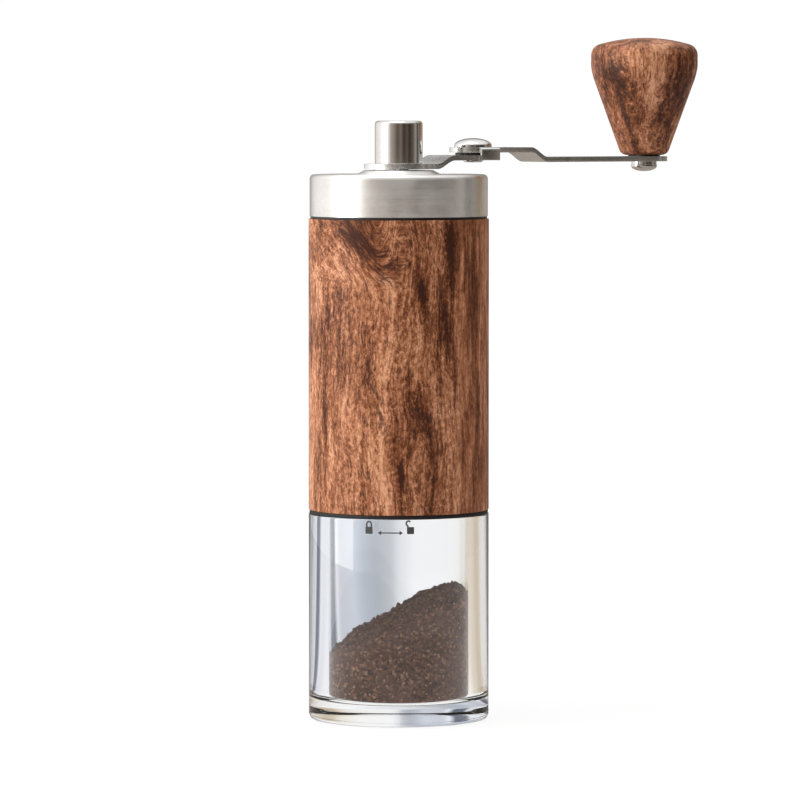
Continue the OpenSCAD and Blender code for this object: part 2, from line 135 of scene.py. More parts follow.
def revolve(bm, profile, segments, ring, centre=(0, 0)):
    """Spins (radius, height) points about a vertical line through centre."""
    tiny = 1e-7
    rows = []
    for r, z in profile:
        if r < tiny:
            rows.append([bm.verts.new((centre[0], centre[1], z))])
        else:
            rows.append(ring_of(bm, r, z, segments, centre))
    pairs = list(zip(rows, rows[1:]))
    if ring:
        pairs.append((rows[-1], rows[0]))
    for a, b in pairs:
        bridge(bm, a, b, segments)


def turned(name, profile, material, segments=160, ring=False, centre=(0, 0), sharp_deg=32):
    """A lathe-turned piece."""
    bm = bmesh.new()
    revolve(bm, profile, segments, ring, centre)
    return finish_mesh(name, bm, material, sharp_deg)


def modify(piece, kind, **settings):
    """Adds a modifier and applies it at once."""
    added = piece.modifiers.new(kind.lower(), kind)
    for key, value in settings.items():
        setattr(added, key, value)
    evaluated = piece.evaluated_get(bpy.context.evaluated_depsgraph_get())
    mesh = bpy.data.meshes.new_from_object(evaluated)
    piece.modifiers.clear()
    old = piece.data
    piece.data = mesh
    bpy.data.meshes.remove(old)
    return piece


def cut_round(piece, x, y, r, z0, z1, segments=64):
    """Drills a vertical hole."""
    bm = bmesh.new()
    revolve(bm, [(0, z0), (r, z0), (r, z1), (0, z1)], segments, False, (x, y))
    cutter = finish_mesh("cutter", bm, piece.data.materials[0])
    modify(piece, "BOOLEAN", object=cutter, operation="DIFFERENCE", solver="EXACT")
    bpy.data.objects.remove(cutter)
    return piece


def join_in(piece, other):
    """Unites another closed mesh with this one."""
    modify(piece, "BOOLEAN", object=other, operation="UNION", solver="EXACT")
    bpy.data.objects.remove(other)
    return piece


def soften(piece, width, segments=3, angle_deg=40):
    """Rounds the piece's edges the way tumbling does."""
    modify(piece, "BEVEL", width=width, segments=segments, limit_method="ANGLE",
           angle_limit=math.radians(angle_deg), harden_normals=False)
    piece.data.shade_smooth()
    piece.data.set_sharp_from_angle(angle=math.radians(35))
    return piece


# ---- node helpers

def add(tree, kind, props=None, **inputs):
    """Adds a node; keyword inputs name its sockets, with _ for a space."""
    made = tree.nodes.new(kind)
    for key, value in (props or {}).items():
        setattr(made, key, value)
    for key, value in inputs.items():
        feed(tree, made.inputs[key.replace("_", " ")], value)
    return made


def feed(tree, socket, value):
    if isinstance(value, bpy.types.NodeSocket):
        tree.links.new(value, socket)
    else:
        socket.default_value = value


def calc(tree, operation, *values):
    made = tree.nodes.new("ShaderNodeMath")
    made.operation = operation
    for i, value in enumerate(values):
        feed(tree, made.inputs[i], value)
    return made.outputs[0]


def wire(tree, shader, name, value):
    """Lets a value or colour that changes over the surface drive one of the shader's sockets."""
    feed(tree, shader.inputs[name], value)


def surface(tree, shader, colour, rough):
    wire(tree, shader, "Base Color", colour)
    wire(tree, shader, "Roughness", rough)


def times(tree, a, b):
    return calc(tree, "MULTIPLY", a, b)


def plus(tree, a, b):
    return calc(tree, "ADD", a, b)


def minus(tree, a, b):
    return calc(tree, "SUBTRACT", a, b)


def vec_calc(tree, operation, a, b, output="Vector"):
    made = tree.nodes.new("ShaderNodeVectorMath")
    made.operation = operation
    feed(tree, made.inputs[0], a)
    feed(tree, made.inputs[1], b)
    return made.outputs[output]


def vec_times(tree, a, b):
    return vec_calc(tree, "MULTIPLY", a, b)


def vec_minus(tree, a, b):
    return vec_calc(tree, "SUBTRACT", a, b)


def dot(tree, a, b):
    return vec_calc(tree, "DOT_PRODUCT", a, b, "Value")


def remap(tree, value, from_low, from_high, to_low=0.0, to_high=1.0):
    made = tree.nodes.new("ShaderNodeMapRange")
    made.interpolation_type = "SMOOTHSTEP"
    for i, entry in enumerate((value, from_low, from_high, to_low, to_high)):
        feed(tree, made.inputs[i], entry)
    return made.outputs[0]


def blend_colour(tree, factor, a, b, mode="MIX"):
    made = tree.nodes.new("ShaderNodeMix")
    made.data_type = "RGBA"
    made.blend_type = mode
    feed(tree, made.inputs[0], factor)
    for socket, value in ((made.inputs[6], a), (made.inputs[7], b)):
        feed(tree, socket, value if isinstance(value, bpy.types.NodeSocket) else (*value, 1.0))
    return made.outputs[2]


def ramp(tree, value, stops):
    """A colour ramp of (position, colour) stops."""
    made = tree.nodes.new("ShaderNodeValToRGB")
    band = made.color_ramp
    while len(band.elements) < len(stops):
        band.elements.new(0.5)
    for element, (position, colour) in zip(band.elements, stops):
        element.position = position
        element.color = (*colour, 1.0)
    feed(tree, made.inputs[0], value)
    return made.outputs[0]


def speckle(tree, vector, scale, detail=2.0, roughness=0.5, distortion=0.0):
    """Noise, as a value round 0.5."""
    made = add(tree, "ShaderNodeTexNoise", Vector=vector, Scale=scale, Detail=detail,
               Roughness=roughness, Distortion=distortion)
    return made.outputs[0]


def drawn_out(tree, vector, climb, *settings):
    """Noise drawn out upwards; the smaller climb is, the longer its streaks."""
    return speckle(tree, vec_times(tree, vector, (1, 1, climb)), *settings)


def group(name, inputs, outputs):
    """An empty node group with (kind, name, value) inputs and (kind, name) outputs."""
    tree = bpy.data.node_groups.new(name, "ShaderNodeTree")
    for kind, label, value in inputs:
        socket = tree.interface.new_socket(label, in_out="INPUT", socket_type="NodeSocket" + kind)
        if value is not None:
            socket.default_value = value
    for kind, label in outputs:
        tree.interface.new_socket(label, in_out="OUTPUT", socket_type="NodeSocket" + kind)
    source = tree.nodes.new("NodeGroupInput")
    sink = tree.nodes.new("NodeGroupOutput")
    return tree, source.outputs, sink.inputs


def use(tree, made_group, **inputs):
    """Places a group in a material and returns its outputs."""
    placed = tree.nodes.new("ShaderNodeGroup")
    placed.node_tree = made_group
    for key, value in inputs.items():
        feed(tree, placed.inputs[key.replace("_", " ")], value)
    return placed.outputs


def material(name, **constants):
    """A material with one Principled shader; with it, its tree, shader and object coordinates."""
    made = bpy.data.materials.new(name)
    made.use_nodes = True
    tree = made.node_tree
    shader = tree.nodes["Principled BSDF"]
    for key, value in constants.items():
        shader.inputs[key.replace("_", " ")].default_value = value
    place = tree.nodes.new("ShaderNodeTexCoord").outputs["Object"]
    return made, tree, shader, place


def bump(tree, shader, height, distance, strength=1.0):
    made = add(tree, "ShaderNodeBump", Strength=strength, Distance=distance, Height=height)
    wire(tree, shader, "Normal", made.outputs[0])


# ---- shared effects

def make_tool_lines(name, round_part):
    """Fine parallel lines left by a belt or a lathe tool; they run where Stretch is small.

    On a round part, Stretch is for distance from the axis, angle and height.
    """
    tree, given, result = group(
        name,
        [("Vector", "Place", None), ("Vector", "Centre", (0, 0, 0)),
         ("Vector", "Stretch", (1, 1, 1))],
        [("Float", "Lines"), ("Float", "Coarse")])
    at = vec_minus(tree, given["Place"], given["Centre"])
    if round_part:
        parts = add(tree, "ShaderNodeSeparateXYZ", Vector=at).outputs
        squared = plus(tree, calc(tree, "POWER", parts[0], 2.0), calc(tree, "POWER", parts[1], 2.0))
        at = add(tree, "ShaderNodeCombineXYZ", X=calc(tree, "SQRT", squared),
                 Y=calc(tree, "ARCTAN2", parts[1], parts[0]), Z=parts[2]).outputs[0]
    laid = vec_times(tree, at, given["Stretch"])
    feed(tree, result["Lines"], remap(tree, speckle(tree, laid, 1.0, 1.5, 0.6), 0.3, 0.7))
    feed(tree, result["Coarse"], remap(tree, speckle(tree, laid, 0.23, 2.0), 0.3, 0.7))
    return tree


def make_handling():
    """Soft uneven patches, as hands and cloths leave them."""
    tree, given, result = group(
        "handling_marks", [("Vector", "Place", None), ("Float", "Scale", 60.0)],
        [("Float", "Patches")])
    broad = speckle(tree, given["Place"], given["Scale"], 3.0, 0.55, 0.6)
    feed(tree, result["Patches"], remap(tree, broad, 0.35, 0.68))
    return tree


def make_moulded():
    """The faint pebble of a spark-eroded mould."""
    tree, given, result = group(
        "moulded_grain", [("Vector", "Place", None), ("Float", "Scale", 2600.0)],
        [("Float", "Height"), ("Float", "Patches")])
    feed(tree, result["Height"], speckle(tree, given["Place"], given["Scale"], 2.0))
    soft = speckle(tree, given["Place"], 120.0, 2.0)
    feed(tree, result["Patches"], remap(tree, soft, 0.3, 0.7))
    return tree


def make_edge_wear():
    """Marks convex edges, where a finish rubs away first."""
    tree, given, result = group(
        "edge_wear", [("Vector", "Place", None), ("Float", "Start", 0.52), ("Float", "End", 0.6)],
        [("Float", "Worn")])
    point = add(tree, "ShaderNodeNewGeometry").outputs["Pointiness"]
    broken = speckle(tree, given["Place"], 900.0, 2.0)
    edge = remap(tree, point, given["Start"], given["End"])
    feed(tree, result["Worn"], times(tree, edge, remap(tree, broken, 0.3, 0.6)))
    return tree


def make_grain_patch():
    """A soft oval patch, for places where the grain is darker."""
    tree, given, result = group(
        "grain_patch",
        [("Vector", "Place", None), ("Vector", "Centre", (0, 0, 0)),
         ("Vector", "Spread", (1, 1, 1)), ("Float", "Tilt", 0.0)],
        [("Float", "Mask")])
    off = vec_minus(tree, given["Place"], given["Centre"])
    parts = add(tree, "ShaderNodeSeparateXYZ", Vector=off).outputs
    leaned = plus(tree, parts[0], times(tree, parts[2], given["Tilt"]))
    laid = add(tree, "ShaderNodeCombineXYZ", X=leaned, Y=parts[1], Z=parts[2]).outputs[0]
    scaled = vec_calc(tree, "DIVIDE", laid, given["Spread"])
    mask = calc(tree, "EXPONENT", times(tree, dot(tree, scaled, scaled), -1.0))
    feed(tree, result["Mask"], mask)
    return tree


def make_walnut():
    """Speckled, streaked walnut whose grain flows round one knot; Shade darkens its flecks."""
    tree, given, result = group(
        "walnut_figure",
        [("Vector", "Place", None), ("Vector", "Knot", (0, 0, 0)), ("Float", "Knot Width", 0.006),
         ("Float", "Wander", 0.003), ("Float", "Sweep", 0.7), ("Float", "Size", 1.0),
         ("Float", "Length", 1.0), ("Float", "Shade", 0.0), ("Float", "Calm", 0.0)],
        [("Color", "Color"), ("Float", "Height"), ("Float", "Dark")])
    place = given["Place"]
    # the grain wanders sideways slowly as it climbs
    drift = drawn_out(tree, place, 0.55, 42.0, 2.0, 0.5)
    drift = times(tree, minus(tree, drift, 0.5), times(tree, given["Wander"], 4.0))
    # it parts round the knot, and sweeps in diagonally on the knot's left
    off = vec_minus(tree, place, given["Knot"])
    parts = add(tree, "ShaderNodeSeparateXYZ", Vector=off).outputs
    width = given["Knot Width"]
    wide = calc(tree, "DIVIDE", parts[0], width)
    deep = calc(tree, "DIVIDE", parts[1], times(tree, width, 3.0))
    tall = calc(tree, "DIVIDE", parts[2], times(tree, width, 1.7))
    reach = plus(tree, times(tree, wide, wide),
                 plus(tree, times(tree, tall, tall), times(tree, deep, deep)))
    near = calc(tree, "EXPONENT", times(tree, reach, -0.5))
    squeeze = minus(tree, 1.0, times(tree, near, 0.8))
    left = remap(tree, wide, 0.6, -1.0)
    climb = calc(tree, "MAXIMUM", plus(tree, parts[2], times(tree, width, 1.6)), 0.0)
    sweep = times(tree, times(tree, left, climb), given["Sweep"])
    x_flow = plus(tree, times(tree, parts[0], squeeze), plus(tree, drift, sweep))
    flow = add(tree, "ShaderNodeCombineXYZ", X=x_flow, Y=parts[1], Z=parts[2]).outputs[0]
    across = calc(tree, "DIVIDE", 1.0, given["Size"])
    along = calc(tree, "DIVIDE", 1.0, times(tree, given["Size"], given["Length"]))
    sizes = add(tree, "ShaderNodeCombineXYZ", X=across, Y=across, Z=along).outputs[0]
    laid = vec_times(tree, flow, sizes)
    bands = drawn_out(tree, laid, 0.10, 130.0, 2.0, 0.5)
    streaks = drawn_out(tree, laid, 0.10, 620.0, 3.0, 0.65)
    flecks = drawn_out(tree, laid, 0.58, 1250.0, 3.0, 0.75, 0.5)
    fibres = drawn_out(tree, laid, 0.07, 2600.0, 2.0, 0.6)
    clouds = drawn_out(tree, place, 0.45, 75.0, 3.0, 0.55)
    calm = minus(tree, 1.0, given["Calm"])
    tone = times(tree, minus(tree, flecks, 0.5), times(tree, calm, 1.40))
    for layer, share in ((bands, 1.00), (streaks, 1.00), (fibres, 0.40), (clouds, 0.70)):
        tone = plus(tree, tone, times(tree, minus(tree, layer, 0.5), share))
    tone = minus(tree, plus(tree, tone, 0.505), times(tree, given["Shade"], 0.26))
    # short dark pores, closer together in the shaded patches
    pores = drawn_out(tree, laid, 0.20, 1150.0, 2.0, 0.6, 0.3)
    pores = plus(tree, pores, times(tree, given["Shade"], 0.10))
    pores = minus(tree, pores, times(tree, given["Calm"], 0.06))
    pore_marks = remap(tree, pores, 0.585, 0.66)
    # tangled dark lines inside the knot
    tangle = drawn_out(tree, place, 0.8, 300.0, 2.0, 0.55, 2.2)
    tangle = calc(tree, "ABSOLUTE", minus(tree, tangle, 0.5))
    lines = times(tree, remap(tree, tangle, 0.035, 0.004), remap(tree, near, 0.45, 0.80))
    colour = ramp(tree, tone, [
        (0.10, (0.050, 0.014, 0.006)), (0.30, (0.122, 0.038, 0.015)), (0.50, (0.268, 0.096, 0.043)),
        (0.68, (0.450, 0.190, 0.096)), (0.90, (0.680, 0.345, 0.200))])
    colour = blend_colour(tree, times(tree, pore_marks, 0.66), colour, (0.045, 0.016, 0.012))
    colour = blend_colour(tree, times(tree, lines, 0.80), colour, (0.030, 0.012, 0.009))
    feed(tree, result["Color"], colour)
    height = minus(tree, times(tree, fibres, 0.4), times(tree, pore_marks, 0.5))
    feed(tree, result["Height"], height)
    feed(tree, result["Dark"], calc(tree, "MAXIMUM", pore_marks, lines))
    return tree


TURNED_LINES = make_tool_lines("turned_lines", True)
BRUSHED_LINES = make_tool_lines("brushed_lines", False)
HANDLING = make_handling()
MOULDED = make_moulded()
EDGE_WEAR = make_edge_wear()
GRAIN_PATCH = make_grain_patch()
WALNUT = make_walnut()


def facing(place_tree, place):
    """Object coordinates turned so that X runs across the side that is seen."""
    made = add(place_tree, "ShaderNodeMapping", {"vector_type": "POINT"}, Vector=place)
    made.inputs["Rotation"].default_value = (0, 0, -math.radians(FRONT_DEG))
    return made.outputs[0]


# ---- finishes

def shade_of(tree, place, patches):
    """Adds up oval patches of (across, up, half width, half height, tilt, strength), in mm."""
    total = None
    for across, up, wide, tall, tilt, strength in patches:
        mask = use(tree, GRAIN_PATCH, Place=place, Centre=(across * MM, 0, up * MM),
                   Spread=(wide * MM, 1.0, tall * MM), Tilt=tilt)["Mask"]
        part = times(tree, mask, strength)
        total = part if total is None else plus(tree, total, part)
    return total


def walnut_wrap():
    """Satin printed walnut film."""
    made, tree, shader, place = material("walnut_wrap", IOR=1.42, Specular_IOR_Level=0.17)
    sleeve_r = radius_of("wood_sleeve")
    top = high("wood_sleeve")[2] / MM
    seen = facing(tree, place)
    # the patches are wood figure, and on the left they are painted light that brightens the lit
    # side
    shade = shade_of(tree, seen, wrap_figure_and_light_patches(top))
    parts = add(tree, "ShaderNodeSeparateXYZ", Vector=seen).outputs
    calm = times(tree, remap(tree, parts[0], 12.5 * MM, 17.5 * MM), 0.50)
    figure = use(tree, WALNUT, Place=seen, Knot=(-1.6 * MM, -sleeve_r, (top - 8.5) * MM),
                 Knot_Width=5.2 * MM, Wander=2.6 * MM, Sweep=0.75, Size=1.0, Length=1.0,
                 Shade=shade, Calm=calm)
    patches = use(tree, HANDLING, Place=place, Scale=70.0)["Patches"]
    rough = plus(tree, times(tree, patches, 0.10), times(tree, figure["Dark"], 0.12))
    surface(tree, shader, figure["Color"], plus(tree, rough, 0.40))
    bump(tree, shader, figure["Height"], 0.05 * MM, 0.5)
    return made


def wrap_figure_and_light_patches(top):
    """Darker places in the film's figure, and lighter ones where the strength is negative, measured
    down from the sleeve's top edge. The two lighter patches on the left are painted light: they
    brighten the side that the key light falls on.
    """
    return [
        (-11.5, top - 4.8, 3.4, 4.8, 0.75, 1.0), (-1.0, top - 13.0, 2.2, 3.6, 0.1, 0.9),
        (6.1, top - 18.8, 0.9, 3.6, 0.06, 2.2), (14.0, top - 7.0, 2.0, 10.0, 0.05, 1.0),
        (12.2, top - 27.0, 1.3, 11.0, 0.12, 1.0), (-7.6, top - 40.0, 2.6, 12.0, 0.10, 0.7),
        (-21.5, top - 30.0, 2.2, 6.5, -0.2, 1.1), (-19.8, top - 52.0, 0.7, 18.0, 0.0, 0.8),
        (5.4, top - 50.0, 2.6, 8.0, 0.35, 0.9), (8.6, top - 62.0, 2.6, 8.0, 0.35, 0.7),
        (0.6, top - 69.0, 0.8, 3.6, 0.05, 1.6), (-10.0, top - 66.0, 0.9, 14.0, 0.0, 0.8),
        # painted light: these two lighter patches on the left brighten the side that faces the key
        # light
        (-18.0, top - 10.0, 2.6, 7.0, 0.4, -0.6), (-15.5, top - 60.0, 3.0, 20.0, 0.0, -0.6),
        (5.5, top - 33.0, 4.0, 6.0, 0.3, -0.5), (-3.5, top - 72.0, 3.0, 8.0, 0.0, -0.5)]


def turned_walnut():
    """Oiled solid walnut, with bolder figure than the film."""
    made, tree, shader, place = material("turned_walnut", IOR=1.46, Specular_IOR_Level=0.22)
    knob_at = middle("knob")
    knob_r = radius_of("knob")
    seen = facing(tree, vec_minus(tree, place, tuple(knob_at)))
    shade = shade_of(tree, seen, [
        (-8.5, 5.5, 3.6, 4.2, 0.5, 0.9), (9.5, 3.0, 3.6, 10.0, -0.35, 1.0),
        (3.5, -5.0, 1.6, 7.0, -0.3, 0.8), (-6.0, -3.0, 1.2, 7.0, 0.3, 0.7),
        (-2.0, 9.0, 4.0, 4.0, 0.0, -0.5), (1.0, -11.0, 2.5, 4.0, 0.0, -0.4)])
    figure = use(tree, WALNUT, Place=seen, Knot=(-8.0 * MM, -knob_r * 0.8, 6.0 * MM),
                 Knot_Width=3.6 * MM, Wander=4.5 * MM, Sweep=0.3, Size=1.15, Length=0.8,
                 Shade=shade, Calm=0.1)
    patches = use(tree, HANDLING, Place=place, Scale=110.0)["Patches"]
    worn = use(tree, EDGE_WEAR, Place=place, Start=0.54, End=0.66)["Worn"]
    rough = plus(tree, times(tree, patches, 0.12), times(tree, figure["Dark"], 0.12))
    rough = minus(tree, plus(tree, rough, 0.36), times(tree, worn, 0.08))
    surface(tree, shader, figure["Color"], rough)
    bump(tree, shader, figure["Height"], 0.06 * MM, 0.6)
    return made


def steel(name, colour, rough, line_depth, stretch, centre=None, anisotropic=0.0):
    """Bare steel with tool lines: round about centre if one is given, else along the piece."""
    made, tree, shader, place = material(
        name, Metallic=1.0, Anisotropic=anisotropic, Anisotropic_Rotation=0.25)
    marks = BRUSHED_LINES if centre is None else TURNED_LINES
    lines = use(tree, marks, Place=place, Centre=centre or AXIS, Stretch=stretch)
    patches = use(tree, HANDLING, Place=place, Scale=90.0)["Patches"]
    worn = use(tree, EDGE_WEAR, Place=place)["Worn"]
    tint = blend_colour(tree, times(tree, lines["Coarse"], 0.5), colour, [c * 0.93 for c in colour])
    tint = blend_colour(tree, times(tree, worn, 0.5), tint, [min(1.0, c * 1.12) for c in colour])
    grain = times(tree, lines["Lines"], rough * 0.25)
    uneven = times(tree, patches, rough * 0.30)
    surface(tree, shader, tint, plus(tree, plus(tree, grain, uneven), rough * 0.74))
    bump(tree, shader, lines["Lines"], line_depth, 0.22)
    return made


def plastic(name, colour, rough, grain_scale=2600.0, depth=0.01 * MM):
    """Moulded plastic or rubber."""
    made, tree, shader, place = material(name)
    grain = use(tree, MOULDED, Place=place, Scale=grain_scale)
    worn = use(tree, EDGE_WEAR, Place=place)["Worn"]
    tint = blend_colour(tree, grain["Patches"], colour, [c * 1.35 + 0.004 for c in colour])
    tint = blend_colour(tree, times(tree, worn, 0.35), tint, [c * 1.6 + 0.03 for c in colour])
    surface(tree, shader, tint, remap(tree, grain["Patches"], 0.0, 1.0, rough - 0.05, rough + 0.07))
    bump(tree, shader, grain["Height"], depth, 0.5)
    return made


def burr_ceramic():
    """Unglazed white ceramic, faintly stained in its grooves."""
    made, tree, shader, place = material("burr_ceramic", IOR=1.6)
    grain = use(tree, MOULDED, Place=place, Scale=3500.0)
    stains = use(tree, HANDLING, Place=place, Scale=300.0)["Patches"]
    tint = blend_colour(tree, times(tree, stains, 0.35), (0.80, 0.77, 0.71), (0.62, 0.54, 0.44))
    surface(tree, shader, tint, remap(tree, grain["Patches"], 0.0, 1.0, 0.48, 0.62))
    bump(tree, shader, grain["Height"], 0.02 * MM, 0.6)
    return made


def clear_acrylic():
    """Polished clear plastic with the faintest flow marks."""
    made, tree, shader, place = material("clear_acrylic", Metallic=0.0, IOR=1.49)
    shader.inputs["Transmission Weight"].default_value = 1.0
    flow = drawn_out(tree, place, 0.25, 90.0, 1.0)
    tint = blend_colour(tree, flow, (0.985, 0.99, 1.0), (0.97, 0.98, 0.99))
    surface(tree, shader, tint, remap(tree, flow, 0.2, 0.8, 0.0, 0.025))
    bump(tree, shader, flow, 0.25 * MM, 0.12)
    return made


def ground_coffee():
    """Medium-ground coffee: dark brown grains with paler chaff and dust."""
    made, tree, shader, place = material("ground_coffee", IOR=1.4, Specular_IOR_Level=0.12)
    cells = add(tree, "ShaderNodeTexVoronoi", Vector=place, Scale=1700.0)
    grains = add(tree, "ShaderNodeSeparateColor", Color=cells.outputs["Color"]).outputs[0]
    fine = speckle(tree, place, 3200.0, 2.0)
    dusty = use(tree, HANDLING, Place=place, Scale=65.0)["Patches"]
    tint = ramp(tree, grains, [
        (0.0, (0.032, 0.010, 0.004)), (0.45, (0.098, 0.036, 0.014)),
        (0.85, (0.210, 0.094, 0.046)), (1.0, (0.430, 0.240, 0.150))])
    tint = blend_colour(tree, times(tree, dusty, 0.42), tint, (0.235, 0.142, 0.125))
    tint = blend_colour(tree, remap(tree, fine, 0.55, 0.7), tint, (0.036, 0.014, 0.007))
    surface(tree, shader, tint, remap(tree, grains, 0.0, 1.0, 0.70, 0.92))
    height = plus(tree, times(tree, grains, 0.6), times(tree, fine, 0.6))
    bump(tree, shader, height, 0.35 * MM, 0.9)
    return made


def grey_ink():
    """Pad-printed ink, a little thin in places."""
    made, tree, shader, place = material("grey_ink")
    thin = speckle(tree, place, 2400.0, 2.0)
    tint = blend_colour(tree, thin, (0.035, 0.033, 0.034), (0.075, 0.072, 0.075))
    surface(tree, shader, tint, remap(tree, thin, 0.3, 0.7, 0.40, 0.60))
    return made


AXIS = (0, 0, 0)
CUP_WALL = 5.2 * MM
CUP_FLOOR = 5.2 * MM
HUB_SHOULDER = 1.6 * MM    # the hub's step, which stands on the plate
SHANK_R = 2.5 * MM         # of the rivet and the knob's spindle
RIVET_AT = tuple(middle("hinge_rivet"))
KNOB_AT = tuple(middle("knob"))
AROUND = (7000.0, 0.5, 7000.0)       # lines run round the axis
ALONG = (70.0, 4200.0, 4200.0)       # lines run along the crank
WALNUT_WRAP = walnut_wrap()
TURNED_WALNUT = turned_walnut()
LID_STEEL = steel("brushed_lid_steel", (0.88, 0.86, 0.84), 0.37, 0.010 * MM, AROUND, AXIS, 0.90)
HUB_STEEL = steel("turned_hub_steel", (0.72, 0.69, 0.66), 0.15, 0.005 * MM, AROUND, AXIS, 0.45)
ARM_STEEL = steel("satin_arm_steel", (0.74, 0.74, 0.73), 0.27, 0.006 * MM, ALONG)
RIVET_STEEL = steel("bright_rivet_steel", (0.74, 0.73, 0.73), 0.13, 0.003 * MM, AROUND, RIVET_AT)
SPINDLE_STEEL = steel("bright_spindle_steel", (0.72, 0.71, 0.71), 0.15, 0.003 * MM, AROUND, KNOB_AT)
TUBE_STEEL = steel("tube_steel", (0.60, 0.60, 0.61), 0.28, 0.008 * MM, AROUND, AXIS)
SHAFT_STEEL = steel("ground_shaft_steel", (0.58, 0.58, 0.59), 0.20, 0.005 * MM, AROUND, AXIS)
BEARING_STEEL = steel("bearing_steel", (0.66, 0.66, 0.68), 0.12, 0.002 * MM, AROUND, AXIS)
SCREW_STEEL = steel("screw_steel", (0.50, 0.50, 0.52), 0.30, 0.006 * MM, AROUND, AXIS)
BUSH_BRASS = steel("bush_brass", (0.80, 0.58, 0.26), 0.24, 0.006 * MM, AROUND, KNOB_AT)
BLACK_NYLON = plastic("black_nylon", (0.007, 0.007, 0.008), 0.50)
WASHER_NYLON = plastic("washer_nylon", (0.030, 0.030, 0.034), 0.42, 4200.0)
SEAL_RUBBER = plastic("seal_rubber", (0.004, 0.004, 0.0045), 0.62, 5200.0)
BURR_CERAMIC = burr_ceramic()
CLEAR_ACRYLIC = clear_acrylic()
GROUND_COFFEE = ground_coffee()
GREY_INK = grey_ink()


# ---- placing pieces

def dress(node, finish):
    """Gives a kept CAD node its finish."""
    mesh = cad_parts[node].data
    mesh.materials.clear()
    mesh.materials.append(finish)


def stand_for(piece, body, *nodes, slot=None):
    """Puts a finer piece in the place of CAD nodes."""
    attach(piece, body)
    if nodes:
        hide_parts(*nodes)
    return piece


# ---- body and lid

def build_sleeve():
    outer, inner = radius_of("wood_sleeve"), radius_of("body_tube")
    z0, z1 = ends("wood_sleeve")
    edge = 0.22 * MM
    profile = rounded([(inner, z0, 0), (outer, z0, edge), (outer, z1, edge), (inner, z1, 0)])
    piece = turned("walnut_sleeve", profile, WALNUT_WRAP, 256, ring=True)
    stand_for(piece, "housing", "wood_sleeve", slot="wood_wrap")


def build_lid():
    """Pressed steel lid: crisp rounded rim, flat top and a short cone up to the hub."""
    outer = radius_of("lid_cap")
    z0, boss_z = ends("lid_cap")
    hub_plate = -low("inner_arm")[0]
    sheet = 1.2 * MM
    top = boss_z - 1.1 * MM
    shaft = radius_of("lid_grommet") - 1.4 * MM
    profile = rounded([
        (outer - sheet, z0, 0), (outer - sheet, top - sheet, 0.4 * MM), (shaft, top - sheet, 0),
        (shaft, boss_z, 0.15 * MM), (hub_plate - 0.1 * MM, boss_z, 0.25 * MM),
        (hub_plate + 2.0 * MM, top, 0.9 * MM), (outer, top, 1.35 * MM), (outer, z0, 0.25 * MM)])
    piece = turned("steel_lid", profile, LID_STEEL, 256, ring=True)
    stand_for(piece, "lid", "lid_cap", slot="lid_steel")


def build_gasket():
    """Dark seal between the tube and the cup's shoulder, with a rounded outer lip."""
    outer = radius_of("cup_gasket")
    inner = radius_of("bayonet_collar") - 1.75 * MM
    z0, z1 = ends("cup_gasket")
    lip = 0.3 * MM
    profile = rounded([(inner, z0, 0), (outer, z0, lip), (outer, z1, lip), (inner, z1, 0)])
    piece = turned("seam_gasket", profile, SEAL_RUBBER, 200, ring=True)
    stand_for(piece, "cup_seat", "cup_gasket", slot="seal_rubber")


# ---- crank

def quarter(steps, first=0):
    """Angles over a quarter turn."""
    return [math.pi / 2 * i / steps for i in range(first, steps + 1)]


def half_rounds(x, half):
    """Half widths of a strip's left end and of its right end, rounded about x."""
    return ([(x - half * math.cos(t), half * math.sin(t)) for t in quarter(20)[:-1]],
            [(x + half * math.sin(t), half * math.cos(t)) for t in quarter(20)])


def ease(t):
    t = min(1.0, max(0.0, t))
    return t * t * (3 - 2 * t)


def bent_sheet(name, outline, height_at):
    """Arm steel, cut to an outline of (x, half width) and bent to height_at(x)."""
    bm = bmesh.new()
    rows = []
    for x, half in outline:
        z = height_at(x)
        if half < 1e-7:
            rows.append([bm.verts.new((x, 0, z)), bm.verts.new((x, 0, z + ARM_THICK))])
        else:
            rows.append([bm.verts.new((x, y, zz)) for y, zz in (
                (-half, z), (half, z), (half, z + ARM_THICK), (-half, z + ARM_THICK))])
    for a, b in zip(rows, rows[1:]):
        if len(a) == 4 and len(b) == 4:
            bridge(bm, a, b, 4)
        else:
            tip, full = (a, b) if len(a) == 2 else (b, a)
            bm.faces.new([tip[0], full[0], full[1]])
            bm.faces.new([tip[1], full[2], full[3]])
            bm.faces.new([tip[0], full[1], full[2], tip[1]])
            bm.faces.new([tip[0], tip[1], full[3], full[0]])
    return finish_mesh(name, bm, ARM_STEEL)


def run(x0, x1, half, count):
    return [(x0 + (x1 - x0) * i / count, half) for i in range(count + 1)]


HINGE_X = middle("hinge_rivet")[0]
KNOB_X = middle("knob")[0]
ARM_HALF = high("inner_arm")[0] - HINGE_X
INNER_TOP = high("inner_arm")[2]
OUTER_Z = high("hinge_washer")[2] + 0.05 * MM
ARM_THICK = high("outer_arm")[2] - OUTER_Z
INNER_Z = INNER_TOP - ARM_THICK
FAR_Z = low("outer_arm")[2]
HUB_Z = low("inner_arm")[2]


